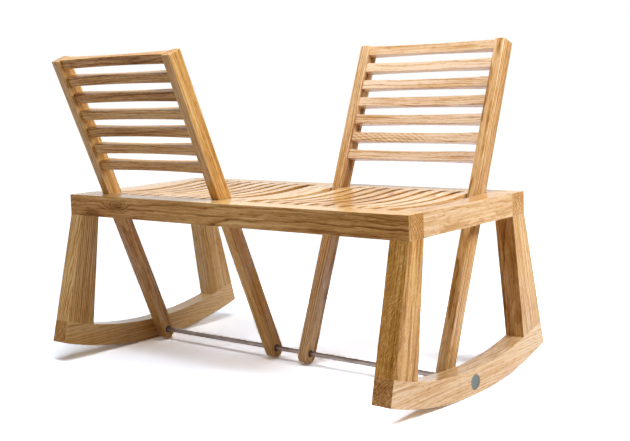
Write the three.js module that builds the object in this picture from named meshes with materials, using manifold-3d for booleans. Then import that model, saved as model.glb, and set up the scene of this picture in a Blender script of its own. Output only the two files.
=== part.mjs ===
// Rocking bench of solid oak: two seats side by side, on two curved runners.
// Each seat has a back that turns on one steel rod low in the frame. A back leans on the rear or on the
// front seat rail, so each sitter can face either way.
// Millimetres, +Z up. X runs along the bench and the front is at -Y. The origin is on the floor, under
// the middle of the bench. The bench looks the same after half a turn about Z, so one half is modelled
// and the other is that half turned round.

import * as THREE from "three";
import { mergeVertices } from "three/addons/utils/BufferGeometryUtils.js";
import Module from "manifold-3d";

const wasm = await Module();
wasm.setup();

// Seat frame
const seatHeight = 430;
const frameDepth = 471; // outer face of the front rail to outer face of the rear rail
const railHeight = 54.5;
const railThickness = 53;
const endRailWidth = 66;

// Seat, from the middle of the bench outwards: half the plank, a slot for an upright, the slats and the
// gaps between them, a slot for the other upright, and the end rail
const plankWidth = 80;
const slotClearance = 4; // between an upright and each side of its slot
const slatWidth = 27;
const slatGap = 16.5;
const slatsPerSeat = 9;
const seatSlatThickness = 26;
const seatDish = 6.6; // depth of the hollow across the seat
const hollowLedge = 40.5; // flat strip of the seat between each rail and the hollow
const endRailDish = 5.6; // depth of the hollow at the end rail's inner edge
const endRailOuterDish = 0.8; // and at its outer edge

// Legs and runners
const legWidth = 50;
const legFootWidth = 86.5; // measured along the runner
const rockerSpan = 634;
const rockerRadius = 1005;
const rockerHeight = 57;

// Backs: two uprights joined by slats that are scooped on both faces
const uprightThickness = 26; // along X
const uprightDepth = 40;
const uprightRise = 816; // from the rod's centre to the top
const footDrop = 5; // from the rod's centre down to the centre of the round foot
const backSlatHeight = 24.5;
const backSlatPitch = 47.5;
const leastSlatLift = 60; // free height along an upright from a seat rail's edge to the lowest slat
const backSlatThickness = 26; // at its ends
const backSlatScoop = 6; // depth of the hollow in each face

// Rod and its fittings
const rodDiameter = 12;
const bushDiameter = 18;
const recessDiameter = 36; // in the runner's outer face
const coverThickness = 3;
const washerDiameter = 28;
const washerThickness = 2.5;
const nutAcrossFlats = 19;
const nutHeight = 10;
const threadShown = 1.5; // rod past the nut
const coverGap = 1; // from the rod's end to the cover

// Joints
const fitClearance = 0.3; // round a tenon, a rod or a bush, and where an upright leans on a rail
const tenonShoulder = 5; // from a tenon's side to the side of its slat
const seatTenonLength = 12;
const backTenonLength = 10;
const backTenonThickness = 10;
const legTenonLength = 28;
const legTenonThickness = 20;
const legTenonWidth = 30;
const overrun = 2; // how far a cut runs past the surface it opens

// Facets of the curves
const rockerFacets = 25; // an odd number, so the middle facet stands flat on the floor
const hollowFacets = 12;
const roundFacets = 32;
const hexFacets = 6;

// Places that follow from the sizes above
const slotWidth = uprightThickness + 2 * slotClearance;
const innerSlotX = plankWidth / 2;
const firstSlatX = innerSlotX + slotWidth;
const slatPitch = slatWidth + slatGap;
const outerSlotX = firstSlatX + slatsPerSeat * slatPitch - slatGap;
const endRailX = outerSlotX + slotWidth;
const halfLength = endRailX + endRailWidth;
const halfDepth = frameDepth / 2;
const railInnerY = halfDepth - railThickness;
const hollowY = railInnerY - hollowLedge;
const railBottomZ = seatHeight - railHeight;
const legX = halfLength - legWidth / 2;
const innerUprightX = innerSlotX + slotClearance;
const outerUprightX = outerSlotX + slotClearance;
const rodZ = rockerHeight / 2;
const rodRadius = rodDiameter / 2;
const recessDepth = coverThickness + coverGap + threadShown + nutHeight + washerThickness;
const recessFloorX = halfLength - recessDepth;

// A back leans until its upright's face comes to the top inner edge of a seat rail.
const edgeReach = Math.hypot(railInnerY, seatHeight - rodZ);
const edgeAngle = Math.atan2(railInnerY, seatHeight - rodZ);
const edgeSide = uprightDepth / 2 + fitClearance;
const leanAngle = edgeAngle - Math.asin(edgeSide / edgeReach);

// A back has as many slats as fit between its top and the free height above that edge.
const lowestSlatRise = Math.sqrt(edgeReach * edgeReach - edgeSide * edgeSide) + leastSlatLift;
const backSlatCount = 1 + Math.floor((uprightRise - backSlatHeight - lowestSlatRise) / backSlatPitch);

// The runner's curves share one centre, at a height that puts the middle facet on the floor.
const rockerEndAngle = Math.asin(rockerSpan / 2 / rockerRadius);
const rockerCentreZ = rockerRadius * Math.cos(rockerEndAngle / rockerFacets);
const rockerTopRadius = rockerRadius - rockerHeight;

const finishes = {
  oak: { color: 0xc99b63, roughness: 0.55, metalness: 0 },
  steel: { color: 0x8d8078, roughness: 0.35, metalness: 0.9 },
  nylon: { color: 0x2b2724, roughness: 0.6, metalness: 0 },
  cover: { color: 0x2f4a46, roughness: 0.45, metalness: 0.4 },
};

// A closed geometry as a solid that can be joined and cut.
function solidOf(geometry) {
  const bare = geometry.clone();
  bare.deleteAttribute("normal");
  bare.deleteAttribute("uv");
  const merged = mergeVertices(bare);
  return new wasm.Manifold(
    new wasm.Mesh({
      numProp: 3,
      vertProperties: merged.attributes.position.array,
      triVerts: new Uint32Array(merged.index.array),
    }),
  );
}

function geometryOf(solid) {
  const mesh = solid.getMesh();
  const geometry = new THREE.BufferGeometry();
  geometry.setAttribute("position", new THREE.BufferAttribute(mesh.vertProperties, mesh.numProp));
  geometry.setIndex(new THREE.BufferAttribute(mesh.triVerts, 1));
  const shaded = geometry.toNonIndexed();
  shaded.computeVertexNormals();
  return shaded;
}

function piece(name, solid, finish) {
  const mesh = new THREE.Mesh(geometryOf(solid), new THREE.MeshStandardMaterial(finishes[finish]));
  mesh.name = name;
  return mesh;
}

// A box between two corners.
function block(low, high) {
  const from = new THREE.Vector3(...low);
  const size = new THREE.Vector3(...high).sub(from);
  const middle = from.addScaledVector(size, 0.5);
  const box = new THREE.BoxGeometry(size.x, size.y, size.z);
  return solidOf(box.translate(middle.x, middle.y, middle.z));
}

// An outline in Y and Z, drawn out along X.
function prismAlongX(outline, fromX, toX) {
  const shape = new THREE.Shape(outline);
  const prism = new THREE.ExtrudeGeometry(shape, { depth: toX - fromX, bevelEnabled: false });
  const turn = new THREE.Matrix4().makeBasis(
    new THREE.Vector3(0, 1, 0),
    new THREE.Vector3(0, 0, 1),
    new THREE.Vector3(1, 0, 0),
  );
  return solidOf(prism.applyMatrix4(turn).translate(fromX, 0, 0));
}

// An outline in X and Y, drawn out along Z.
function prismAlongZ(outline, fromZ, toZ) {
  const shape = new THREE.Shape(outline);
  const prism = new THREE.ExtrudeGeometry(shape, { depth: toZ - fromZ, bevelEnabled: false });
  return solidOf(prism.translate(0, 0, fromZ));
}

// A round or many-sided bar along X.
function barAlongX(radius, fromX, toX, z, facets) {
  const bar = new THREE.CylinderGeometry(radius, radius, toX - fromX, facets);
  return solidOf(bar.rotateZ(-Math.PI / 2).translate((fromX + toX) / 2, 0, z));
}

// Points on a shallow arc from one end of a span to the other, hollowed by a depth in the middle.
function hollowArc(fromU, toU, edgeV, depth) {
  const half = (toU - fromU) / 2;
  const radius = (half * half + depth * depth) / (2 * depth);
  const points = [];
  for (let i = 0; i <= hollowFacets; i++) {
    const u = half * ((2 * i) / hollowFacets - 1);
    const rise = Math.sqrt(radius * radius - u * u) - (radius - depth);
    points.push(new THREE.Vector2(fromU + half + u, edgeV - rise));
  }
  return points;
}

// A point of a runner's curve, by its radius and its angle from straight down.
function rockerPoint(radius, angle) {
  return new THREE.Vector2(radius * Math.sin(angle), rockerCentreZ - radius * Math.cos(angle));
}

function rockerArc(radius, fromAngle, toAngle) {
  const points = [];
  for (let i = 0; i <= rockerFacets; i++) {
    points.push(rockerPoint(radius, THREE.MathUtils.lerp(fromAngle, toAngle, i / rockerFacets)));
  }
  return points;
}

// The angle at which a line going down and out meets a curve of the runner.
function meetingAngle(from, to, radius) {
  const centre = new THREE.Vector2(0, rockerCentreZ);
  const start = from.clone().sub(centre);
  const way = to.clone().sub(from).normalize();
  const along = start.dot(way);
  const far = Math.sqrt(along * along - start.lengthSq() + radius * radius) - along;
  const hit = start.addScaledVector(way, far);
  return Math.atan2(hit.x, -hit.y);
}

// Corners of a leg in Y and Z. Its outer edge runs on down the end of the runner.
const legOuterTop = new THREE.Vector2(halfDepth, railBottomZ);
const legInnerTop = new THREE.Vector2(railInnerY, railBottomZ);
const rockerEnd = rockerPoint(rockerRadius, rockerEndAngle);
const legOuterAngle = meetingAngle(legOuterTop, rockerEnd, rockerTopRadius);
const legInnerAngle = legOuterAngle - legFootWidth / rockerTopRadius;
const legInnerFoot = rockerPoint(rockerTopRadius, legInnerAngle);
const legFoot = rockerPoint(rockerTopRadius, (legOuterAngle + legInnerAngle) / 2);
const legTopY = (railInnerY + halfDepth) / 2;
const legSplay = Math.atan2(legFoot.x - legTopY, railBottomZ - legFoot.y);

// The tenon at a leg's foot, or with a clearance the mortise that takes it. It is made upright at the
// origin, then turned and moved to the foot.
function footTenon(clearance) {
  const halfX = legTenonWidth / 2 + clearance;
  const halfY = legTenonThickness / 2 + clearance;
  const upright = block([-halfX, -halfY, -legTenonLength - clearance], [halfX, halfY, legTenonLength]);
  const turned = upright.rotate([THREE.MathUtils.radToDeg(legSplay), 0, 0]);
  return turned.translate([0, legFoot.x, legFoot.y]);
}

// The tenon at a leg's top, or its mortise.
function headTenon(clearance) {
  const halfX = legTenonWidth / 2 + clearance;
  const halfY = legTenonThickness / 2 + clearance;
  return block(
    [-halfX, legTopY - halfY, railBottomZ - overrun],
    [halfX, legTopY + halfY, railBottomZ + legTenonLength + clearance],
  );
}

// A leg at the rear, across X = 0.
function leg() {
  const footRadius = rockerTopRadius - fitClearance;
  const outerAngle = meetingAngle(legOuterTop, rockerEnd, footRadius);
  const innerAngle = meetingAngle(legInnerTop, legInnerFoot, footRadius);
  const outline = [legInnerTop, ...rockerArc(footRadius, innerAngle, outerAngle), legOuterTop];
  return prismAlongX(outline, -legWidth / 2, legWidth / 2).add(footTenon(0)).add(headTenon(0));
}

// The right runner, with its mortises, the bore for the rod and the recess for the nut.
function rocker() {
  const outline = [
    ...rockerArc(rockerRadius, -rockerEndAngle, rockerEndAngle),
    ...rockerArc(rockerTopRadius, legOuterAngle, -legOuterAngle),
  ];
  const innerX = halfLength - legWidth;
  const mortise = footTenon(fitClearance).translate([legX, 0, 0]);
  const bore = barAlongX(rodRadius + fitClearance, innerX - overrun, halfLength, rodZ, roundFacets);
  const recess = barAlongX(recessDiameter / 2, recessFloorX, halfLength + overrun, rodZ, roundFacets);
  return prismAlongX(outline, innerX, halfLength)
    .subtract(mortise)
    .subtract(mortise.mirror([0, 1, 0]))
    .subtract(bore)
    .subtract(recess);
}

// Inner sides of one seat's slats, from the middle of the bench outwards.
function seatSlatPlaces() {
  const places = [];
  for (let i = 0; i < slatsPerSeat; i++) {
    places.push(firstSlatX + i * slatPitch);
  }
  return places;
}

// The stub tenon at the rear end of a slat, rail or plank across the seat, or its mortise.
function crossTenon(fromX, width, bottomZ, clearance) {
  return block(
    [fromX + tenonShoulder - clearance, railInnerY - overrun, bottomZ + tenonShoulder - clearance],
    [
      fromX + width - tenonShoulder + clearance,
      railInnerY + seatTenonLength + clearance,
      seatHeight - seatDish - tenonShoulder + clearance,
    ],
  );
}

// A slat or plank across the seat, hollowed along its top.
function crossSlat(fromX, width) {
  const bottomZ = seatHeight - seatSlatThickness;
  const outline = [
    new THREE.Vector2(-railInnerY, seatHeight),
    ...hollowArc(-hollowY, hollowY, seatHeight, seatDish),
    new THREE.Vector2(railInnerY, seatHeight),
    new THREE.Vector2(railInnerY, bottomZ),
    new THREE.Vector2(-railInnerY, bottomZ),
  ];
  const tenon = crossTenon(fromX, width, bottomZ, 0);
  return prismAlongX(outline, fromX, fromX + width).add(tenon).add(tenon.mirror([0, 1, 0]));
}

// The right end rail. The hollow of the seat runs out over it towards its outer edge.
function endRail() {
  const hollow = [
    ...hollowArc(-hollowY, hollowY, 0, endRailDish),
    new THREE.Vector2(hollowY, railHeight),
    new THREE.Vector2(-hollowY, railHeight),
  ];
  const fall = Math.atan2(endRailDish - endRailOuterDish, endRailWidth);
  const cut = prismAlongX(hollow, -overrun, endRailWidth + overrun)
    .rotate([0, -THREE.MathUtils.radToDeg(fall), 0])
    .translate([endRailX, 0, seatHeight]);
  const tenon = crossTenon(endRailX, endRailWidth, railBottomZ, 0);
  return block([endRailX, -railInnerY, railBottomZ], [halfLength, railInnerY, seatHeight])
    .subtract(cut)
    .add(tenon)
    .add(tenon.mirror([0, 1, 0]));
}

// The rear rail, with a mortise for each slat, end rail and leg.
function longRail() {
  const slatBottomZ = seatHeight - seatSlatThickness;
  const cuts = [crossTenon(-plankWidth / 2, plankWidth, slatBottomZ, fitClearance)];
  for (const x of seatSlatPlaces()) {
    cuts.push(crossTenon(x, slatWidth, slatBottomZ, fitClearance));
  }
  cuts.push(crossTenon(endRailX, endRailWidth, railBottomZ, fitClearance));
  cuts.push(headTenon(fitClearance).translate([legX, 0, 0]));
  let rail = block([-halfLength, railInnerY, railBottomZ], [halfLength, halfDepth, seatHeight]);
  for (const cut of cuts) {
    rail = rail.subtract(cut).subtract(cut.mirror([1, 0, 0]));
  }
  return rail;
}

// Slats of a back, as heights above the rod's centre, from the top down. The first is flush with the top.
function backSlatBottoms() {
  const bottoms = [];
  for (let i = 0; i < backSlatCount; i++) {
    bottoms.push(uprightRise - backSlatHeight - i * backSlatPitch);
  }
  return bottoms;
}

// The part of a back slat that is held in both uprights, or its mortises.
function backTenon(bottomZ, clearance) {
  const halfY = backTenonThickness / 2 + clearance;
  const fromX = innerUprightX + uprightThickness - backTenonLength - clearance;
  const toX = outerUprightX + backTenonLength + clearance;
  const fromZ = bottomZ + tenonShoulder - clearance;
  const toZ = bottomZ + backSlatHeight - tenonShoulder + clearance;
  return block([fromX, -halfY, fromZ], [toX, halfY, toZ]);
}

function backSlat(bottomZ) {
  const fromX = innerUprightX + uprightThickness + fitClearance;
  const toX = outerUprightX - fitClearance;
  const front = hollowArc(fromX, toX, backSlatThickness / 2, backSlatScoop);
  const rear = front.map((point) => new THREE.Vector2(point.x, -point.y)).reverse();
  return prismAlongZ([...front, ...rear], bottomZ, bottomZ + backSlatHeight).add(backTenon(bottomZ, 0));
}

// An upright with its rod's centre at the origin, square at the top and round at the foot.
function upright(fromX) {
  const halfY = uprightDepth / 2;
  const outline = [new THREE.Vector2(halfY, uprightRise), new THREE.Vector2(-halfY, uprightRise)];
  for (let i = 0; i <= hollowFacets; i++) {
    const angle = (Math.PI * i) / hollowFacets;
    outline.push(new THREE.Vector2(-halfY * Math.cos(angle), -footDrop - halfY * Math.sin(angle)));
  }
  const toX = fromX + uprightThickness;
  const boreRadius = bushDiameter / 2 + fitClearance;
  let made = prismAlongX(outline, fromX, toX);
  made = made.subtract(barAlongX(boreRadius, fromX - overrun, toX + overrun, 0, roundFacets));
  for (const bottomZ of backSlatBottoms()) {
    made = made.subtract(backTenon(bottomZ, fitClearance));
  }
  return made;
}

// A ring along X round the rod: a bush or a washer.
function ring(diameter, fromX, toX, z) {
  const hole = barAlongX(rodRadius + fitClearance, fromX - overrun, toX + overrun, z, roundFacets);
  return barAlongX(diameter / 2, fromX, toX, z, roundFacets).subtract(hole);
}

// One back, built upright and then leaned over the rear rail.
function back(side) {
  const group = new THREE.Group();
  const uprights = { inner: innerUprightX, outer: outerUprightX };
  for (const [place, x] of Object.entries(uprights)) {
    group.add(piece(`${side}_back_${place}_upright`, upright(x), "oak"));
    const bush = ring(bushDiameter, x, x + uprightThickness, 0);
    group.add(piece(`${side}_back_${place}_bush`, bush, "nylon"));
  }
  backSlatBottoms().forEach((bottomZ, i) => {
    group.add(piece(`${side}_back_slat_${i + 1}`, backSlat(bottomZ), "oak"));
  });
  group.position.z = rodZ;
  group.rotation.x = -leanAngle;
  return group;
}

// Washer, nut and cover at the rod's right end.
function rodFittings(side) {
  const washerEndX = recessFloorX + washerThickness;
  const nutEndX = washerEndX + nutHeight;
  const nutRadius = nutAcrossFlats / 2 / Math.cos(Math.PI / hexFacets);
  const hole = barAlongX(rodRadius + fitClearance, recessFloorX, halfLength, rodZ, roundFacets);
  const nut = barAlongX(nutRadius, washerEndX, nutEndX, rodZ, hexFacets).subtract(hole);
  const coverRadius = recessDiameter / 2 - fitClearance;
  const cover = barAlongX(coverRadius, halfLength - coverThickness, halfLength, rodZ, roundFacets);
  const washer = ring(washerDiameter, recessFloorX, washerEndX, rodZ);
  return [
    piece(`${side}_rod_washer`, washer, "steel"),
    piece(`${side}_rod_nut`, nut, "steel"),
    piece(`${side}_rod_cover`, cover, "cover"),
  ];
}

function legPair(side, plusYName, minusYName) {
  const plusY = piece(`${plusYName}_${side}_leg`, leg(), "oak");
  const minusY = piece(`${minusYName}_${side}_leg`, leg(), "oak");
  plusY.position.x = legX;
  minusY.position.x = legX;
  minusY.rotation.z = Math.PI;
  return [plusY, minusY];
}

// The right half of the bench, which half a turn makes into the left half.
function benchHalf(side) {
  const turned = side === "left";
  const group = new THREE.Group();
  group.add(piece(`${side}_end_rail`, endRail(), "oak"));
  group.add(piece(`${side}_rocker`, rocker(), "oak"));
  group.add(...legPair(side, turned ? "front" : "rear", turned ? "rear" : "front"));
  seatSlatPlaces().forEach((x, i) => {
    group.add(piece(`${side}_seat_slat_${i + 1}`, crossSlat(x, slatWidth), "oak"));
  });
  group.add(...rodFittings(side));
  group.add(back(side));
  group.rotation.z = turned ? Math.PI : 0;
  return group;
}

function rockingBench() {
  const bench = new THREE.Group();
  const frontRail = piece("front_seat_rail", longRail(), "oak");
  frontRail.rotation.z = Math.PI;
  const rodEndX = halfLength - coverThickness - coverGap;
  bench.add(piece("rear_seat_rail", longRail(), "oak"), frontRail);
  bench.add(piece("centre_plank", crossSlat(-plankWidth / 2, plankWidth), "oak"));
  bench.add(piece("pivot_rod", barAlongX(rodRadius, -rodEndX, rodEndX, rodZ, roundFacets), "steel"));
  bench.add(benchHalf("right"), benchHalf("left"));
  return bench;
}

export default rockingBench();
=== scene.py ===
# %% [markdown]
# # A rocking bench in oiled oak
# Two slatted seats stand side by side on two curved runners. Each seat has a back that swings over on one
# low steel rod, so each sitter can face either way.
# The construction model gives every size and place. This lesson makes the boards that a person would see and
# touch: planed, with eased edges, with grain that runs along each board, and finished with oil.

# %% Load the construction model
import math
from random import Random

import bmesh
import bpy
from mathutils import Matrix, Vector


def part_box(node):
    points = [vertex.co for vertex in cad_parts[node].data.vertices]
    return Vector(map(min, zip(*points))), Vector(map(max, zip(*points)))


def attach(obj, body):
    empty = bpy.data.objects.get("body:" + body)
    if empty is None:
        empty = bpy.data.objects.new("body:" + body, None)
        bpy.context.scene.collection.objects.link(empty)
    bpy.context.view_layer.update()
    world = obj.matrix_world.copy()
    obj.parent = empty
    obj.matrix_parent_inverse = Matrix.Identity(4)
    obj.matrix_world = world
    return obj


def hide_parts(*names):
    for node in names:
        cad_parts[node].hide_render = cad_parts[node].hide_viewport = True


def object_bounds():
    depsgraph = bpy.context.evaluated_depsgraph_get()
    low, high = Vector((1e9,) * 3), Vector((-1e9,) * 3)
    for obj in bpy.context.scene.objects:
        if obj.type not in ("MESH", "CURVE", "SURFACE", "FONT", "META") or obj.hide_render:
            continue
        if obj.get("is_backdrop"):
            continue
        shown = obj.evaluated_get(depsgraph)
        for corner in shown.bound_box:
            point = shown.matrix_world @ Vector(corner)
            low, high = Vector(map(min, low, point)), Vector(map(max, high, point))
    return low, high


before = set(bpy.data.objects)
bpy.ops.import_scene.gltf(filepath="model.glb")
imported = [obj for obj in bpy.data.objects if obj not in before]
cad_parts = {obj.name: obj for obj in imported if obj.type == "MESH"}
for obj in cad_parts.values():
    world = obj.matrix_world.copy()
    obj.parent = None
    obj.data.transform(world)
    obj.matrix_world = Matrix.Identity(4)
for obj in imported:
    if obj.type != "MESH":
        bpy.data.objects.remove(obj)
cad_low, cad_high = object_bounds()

print("size in metres:", [round(value, 4) for value in cad_high - cad_low])

# %% [markdown]
# ## The camera
# A lens can be worked out from a photograph of straight things: the edges of the rails, legs and uprights are
# straight and square, so only one viewpoint and one focal length fit them all. The values here came from such
# a fit. The lens axis doesn't meet the middle of the picture, so the camera has a small shift.

# %% Place the camera
photo_width, photo_height = 630, 441  # pixels
focal_pixels = 1088.7
axis_pixel_x, axis_pixel_y = 333.1, 166.1
camera_place = Vector((1.8175, -2.0190, 0.7158))
camera_azimuth = math.radians(39.305)
camera_tilt = math.radians(4.716)
camera_roll = math.radians(-2.196)

camera_data = bpy.data.cameras.new("photo_view")
camera_data.lens = focal_pixels / photo_width * camera_data.sensor_width
camera_data.shift_x = (photo_width / 2 - axis_pixel_x) / photo_width
camera_data.shift_y = (axis_pixel_y - photo_height / 2) / photo_width
camera = bpy.data.objects.new("photo_view", camera_data)
bpy.context.scene.collection.objects.link(camera)
bpy.context.scene.camera = camera

ahead = Vector((
    -math.sin(camera_azimuth) * math.cos(camera_tilt),
    math.cos(camera_azimuth) * math.cos(camera_tilt),
    -math.sin(camera_tilt),
))
level = ahead.cross(Vector((0, 0, 1))).normalized()
above = level.cross(ahead)
right = level * math.cos(camera_roll) + above * math.sin(camera_roll)
up = above * math.cos(camera_roll) - level * math.sin(camera_roll)
turn = Matrix((right, up, -ahead)).transposed().to_4x4()
camera.matrix_world = Matrix.Translation(camera_place) @ turn
shift = (camera_data.shift_x, camera_data.shift_y)
print("lens in mm:", round(camera_data.lens, 1), "shift:", [round(part, 3) for part in shift])

# %% [markdown]
# ## Sizes
# The sizes come from the boxes round the construction model's nodes. A box can't tell how deep a hollow is or
# how a leg tapers, so those few sizes are written here, the same as in the construction.

# %% Read the sizes
rail_low, rail_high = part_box("rear_seat_rail")
end_rail_low, end_rail_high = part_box("right_end_rail")
plank_low, plank_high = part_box("centre_plank")
slat_low, slat_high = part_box("right_seat_slat_1")
next_slat_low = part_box("right_seat_slat_2")[0]
runner_low, runner_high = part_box("right_rocker")
inner_low, inner_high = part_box("right_back_inner_upright")
outer_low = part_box("right_back_outer_upright")[0]
rod_low, rod_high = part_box("pivot_rod")
cover_low, cover_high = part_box("right_rod_cover")

seat_height = rail_high.z
rail_bottom = rail_low.z
rail_inner_y = rail_low.y
rail_outer_y = rail_high.y
half_length = rail_high.x
rod_z = (rod_low.z + rod_high.z) / 2
rod_radius = (rod_high.z - rod_low.z) / 2
slats_per_seat = 9

seat_dish = 0.0066
seat_ledge = 0.0405  # the flat part of the seat along each long rail
hollow_y = rail_inner_y - seat_ledge
end_rail_dish = 0.0056
end_rail_outer_dish = 0.0008
leg_foot_width = 0.0865  # along the runner
runner_radius = 1.005
runner_depth = 0.057
upright_depth = 0.040
upright_rise = 0.816
foot_drop = 0.005
back_slats = 7
back_slat_height = 0.0245
back_slat_pitch = 0.0475
back_slat_thickness = 0.026
back_slat_scoop = 0.006
bush_radius = 0.009
recess_radius = 0.018
recess_depth = 0.018
fit_clearance = 0.0003
bore_radius = rod_radius + fit_clearance

edge_reach = math.hypot(rail_inner_y, seat_height - rod_z)
edge_angle = math.atan2(rail_inner_y, seat_height - rod_z)
lean = edge_angle - math.asin((upright_depth / 2 + fit_clearance) / edge_reach)
print("seat height:", round(seat_height, 4), "lean of the backs in degrees:", round(math.degrees(lean), 2))

# %% [markdown]
# ## Node trees in code
# Materials, the world and Geometry Nodes are all made of nodes. One helper adds a node, sets its options and
# fills its inputs, either with a value or with a link from another node's socket. It gives back the output
# that the next node needs. The others are short names for the nodes that are used most.

# %% Add a node
def node(tree, kind, inputs=None, out=0, **options):
    made = tree.nodes.new(kind)
    for name, value in options.items():
        setattr(made, name, value)
    for key, value in (inputs or {}).items():
        if isinstance(value, bpy.types.NodeSocket):
            tree.links.new(value, made.inputs[key])
        else:
            made.inputs[key].default_value = value
    return made.outputs[out] if len(made.outputs) else made


def maths(tree, first, second, operation="ADD", third=0.0):
    return node(tree, "ShaderNodeMath", {0: first, 1: second, 2: third}, operation=operation)


def times(tree, first, second, plus=None):
    """A product, and what is to be added to it, if anything."""
    if plus is None:
        return maths(tree, first, second, "MULTIPLY")
    return maths(tree, first, second, "MULTIPLY_ADD", plus)


def vector_maths(tree, first, second, operation="ADD"):
    return node(tree, "ShaderNodeVectorMath", {0: first, 1: second}, operation=operation)


def length_of(tree, vector):
    return node(tree, "ShaderNodeVectorMath", {0: vector}, "Value", operation="LENGTH")


def vector_of(tree, x=0.0, y=0.0, z=0.0):
    return node(tree, "ShaderNodeCombineXYZ", {"X": x, "Y": y, "Z": z})


def parts_of(tree, vector):
    return [node(tree, "ShaderNodeSeparateXYZ", {0: vector}, out) for out in range(3)]


def spread(tree, value, from_low, from_high, to_low=0.0, to_high=1.0, smooth=False):
    """Maps one range of values onto another and holds it within that."""
    ends = {"From Min": from_low, "From Max": from_high, "To Min": to_low, "To Max": to_high, "Value": value}
    kind = "SMOOTHSTEP" if smooth else "LINEAR"
    return node(tree, "ShaderNodeMapRange", ends, interpolation_type=kind)


def mixed(tree, factor, first, second, **options):
    """A mix of two colours. Inputs 6 and 7 and output 2 are the node's sockets for colour."""
    return node(tree, "ShaderNodeMix", {0: factor, 6: first, 7: second}, 2, data_type="RGBA", **options)


def blank_material(name):
    material = bpy.data.materials.new(name)
    material.use_nodes = True
    material.node_tree.nodes.clear()
    return material, material.node_tree


def show(tree, look):
    """Joins a Principled shader with these inputs to the material's output."""
    shader = node(tree, "ShaderNodeBsdfPrincipled", look)
    node(tree, "ShaderNodeOutputMaterial", {"Surface": shader})


print("Blender", bpy.app.version_string, "makes every node with one helper")

# %% [markdown]
# ## Oak
# Oak is a stack of yearly rings round the heart of the tree. Each ring starts with a porous, darker band and
# ends in dense, pale wood. Thin rays run from the heart outwards and show as flecks where the saw follows
# them. A solid pattern gives all of this at once: every board knows where it lay in the tree, and the rings
# come out as straight lines, arches or end grain on whichever face cuts them.
# Each board stores its place in the tree in the attribute "board", in metres, with the grain along X and the
# heart of the tree on the X axis. "tone" says how pale the board is, "gold" how yellow, "lines" how strong
# its rings are, and "fleck" how much its rays show. Tone and gold are partly the board's own colour and
# partly
# painted shade: boards seen mostly in shade are darker and more yellow, boards in the light paler. "edge"
# marks eased edges, which are painted a little paler, a painted highlight. "face" makes single faces paler or
# darker: tops get a painted sheen or painted shade, faces that look to the front painted light or painted
# shade, and end grain is darker, as it drinks more oil. "ripple" gives a slat stripes at a slant. Where a
# branch grew, the rings bulge round a knot: "knot" is the way from it, counted in its own reach, and
# "knotted" switches it on.

# %% Mix the oak
ring_width = 0.0055
ring_wanders = (((1.6, 9, 9), 0.030), ((11, 35, 35), 0.009))  # how many bends in a metre, and their reach
knot_bulge = 0.020
stripe_gap = 0.019
oak_shades = [
    (0.00, (0.070, 0.027, 0.007, 1)),
    (0.25, (0.210, 0.090, 0.024, 1)),
    (0.50, (0.415, 0.204, 0.066, 1)),
    (0.75, (0.630, 0.372, 0.158, 1)),
    (1.00, (0.810, 0.600, 0.385, 1)),
]
golden = (1.0, 0.93, 0.62, 1)


def stored(tree, name, out):
    return node(tree, "ShaderNodeAttribute", out=out, attribute_name=name)


def grain(tree, place, stretch, detail=2.0, out="Fac"):
    """Noise drawn out along the board: stretch is how many features there are in a metre each way."""
    scaled = vector_maths(tree, place, stretch, "MULTIPLY")
    return node(tree, "ShaderNodeTexNoise", {"Vector": scaled, "Scale": 1.0, "Detail": detail}, out)


def near_knot(tree):
    """1 at the middle of a knot, fading to 0 well outside it."""
    away = length_of(tree, stored(tree, "knot", "Vector"))
    near = times(tree, times(tree, away, away), -1.0)
    return times(tree, maths(tree, near, 0.0, "EXPONENT"), stored(tree, "knotted", "Fac"))


def rings(tree, place, knot):
    """1 at the porous start of each yearly ring, fading to 0 in its dense wood. Some years show more."""
    bent = place
    for stretch, reach in ring_wanders:
        wander = vector_maths(tree, grain(tree, place, stretch, out="Color"), (0.5, 0.5, 0.5), "SUBTRACT")
        bent = vector_maths(tree, bent, vector_maths(tree, wander, (0, reach, reach), "MULTIPLY"))
    radius = length_of(tree, vector_maths(tree, bent, (0, 1, 1), "MULTIPLY"))
    radius = times(tree, knot, knot_bulge, radius)
    years = maths(tree, radius, ring_width, "DIVIDE")
    uneven = grain(tree, place, (0.8, 25, 25))
    years = maths(tree, years, times(tree, uneven, 2.5))
    through = maths(tree, years, 1.0, "FRACT")
    rising = spread(tree, through, 0.0, 0.08, smooth=True)
    falling = spread(tree, through, 0.10, 0.65, 1.0, 0.0, smooth=True)
    year = maths(tree, years, 1.0, "FLOOR")
    lot = node(tree, "ShaderNodeTexWhiteNoise", {"W": year}, noise_dimensions="1D")
    strength = spread(tree, lot, 0, 1, 0.3, 1.0)
    strength = times(tree, strength, stored(tree, "lines", "Fac"))
    return times(tree, times(tree, rising, falling), strength)


def rays(tree, place):
    """Flecks: thin sheets that stand along the grain and run out from the heart."""
    x, y, z = parts_of(tree, place)
    angle = maths(tree, z, y, "ARCTAN2")
    radius = maths(tree, times(tree, y, y), times(tree, z, z))
    radius = maths(tree, radius, 0.5, "POWER")
    slanted = times(tree, radius, -1.0, x)
    sheet = vector_of(tree, slanted, times(tree, angle, 0.08), radius)
    return spread(tree, grain(tree, sheet, (280, 900, 130), 1.0), 0.52, 0.64, smooth=True)


def ripples(tree, place):
    """Dark stripes at a slant, where the saw cut through fibres that ran out of the board."""
    x, _, z = parts_of(tree, place)
    slanted = times(tree, z, 2.0, x)
    wave = times(tree, grain(tree, place, (18, 40, 40)), 5.0)
    wave = maths(tree, times(tree, slanted, 2 * math.pi / stripe_gap, wave), 0.0, "SINE")
    stripe = spread(tree, wave, 0.1, 0.95, smooth=True)
    return times(tree, stripe, stored(tree, "ripple", "Fac"))


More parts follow.
